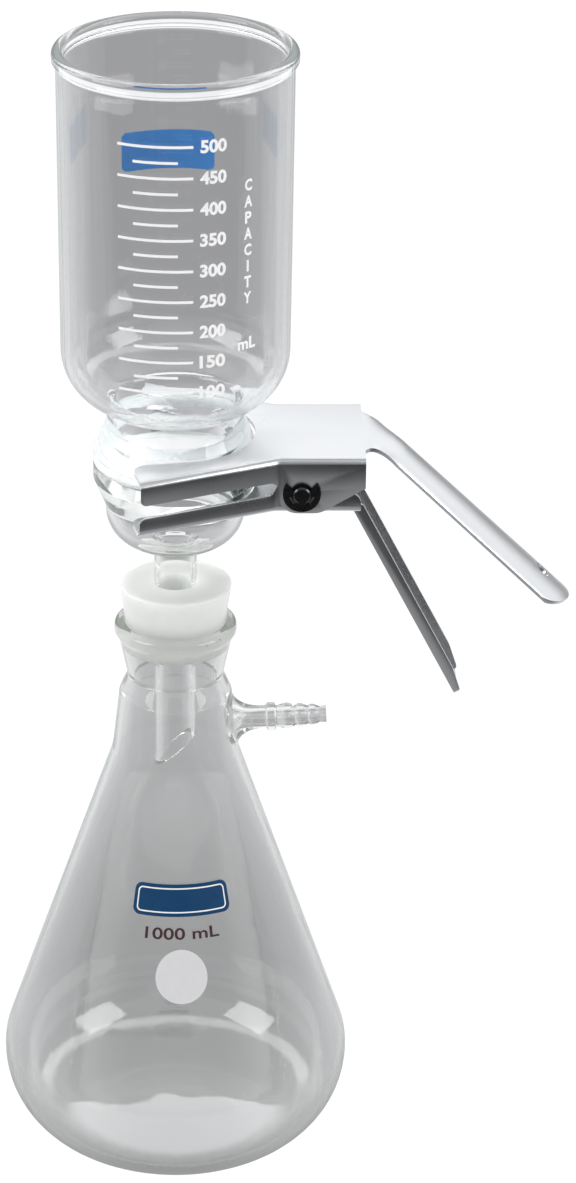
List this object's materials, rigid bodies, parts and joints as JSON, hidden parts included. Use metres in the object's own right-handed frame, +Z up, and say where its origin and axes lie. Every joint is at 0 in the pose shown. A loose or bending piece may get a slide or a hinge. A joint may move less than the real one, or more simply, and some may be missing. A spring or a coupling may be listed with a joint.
{
  "type": "vacuum filtration unit",
  "caption": "Glass filtration set: graduated funnel clamped to a fritted base, on a stoppered conical vacuum flask with a side hose barb.",
  "frame": {"origin": "middle of the flask's foot, on the table plane and on the common axis of the glassware", "axes": "+Z up along the glassware's axis, +X towards the side arm and the clamp's handles"},
  "size_m": [0.2079, 0.13, 0.4306],
  "materials": {
    "borosilicate_glass": "clear, fire-polished",
    "fritted_glass": "matte white sintered glass",
    "silicone": "translucent white, smooth",
    "membrane": "matte white cellulose membrane",
    "anodised_aluminium": "satin clear anodised",
    "steel": "bright drawn",
    "black_spring_steel": "glossy black oxide"
  },
  "bodies": {
    "filter_assembly": {"flask": "borosilicate_glass", "stopper": "silicone", "filter_base": "borosilicate_glass", "fritted_disc": "fritted_glass", "membrane_filter": "membrane", "funnel": "borosilicate_glass", "clamp_upper_jaw": "anodised_aluminium", "clamp_pivot_pin": "black_spring_steel", "retaining_clip_front": "black_spring_steel", "retaining_clip_rear": "black_spring_steel", "clamp_spring": "steel"},
    "lower_jaw": {"clamp_lower_jaw": "anodised_aluminium"}
  },
  "joints": [
    {"name": "clamp_squeeze", "type": "hinge", "parent": "filter_assembly", "child": "lower_jaw", "pos_m": [0.0445, 0, 0.2751], "axis": [0, -1, 0], "range_deg": [0, 20], "stiffness_Nm_per_rad": 1, "springref_deg": -20.05, "deforming": ["clamp_spring"]}
  ]
}
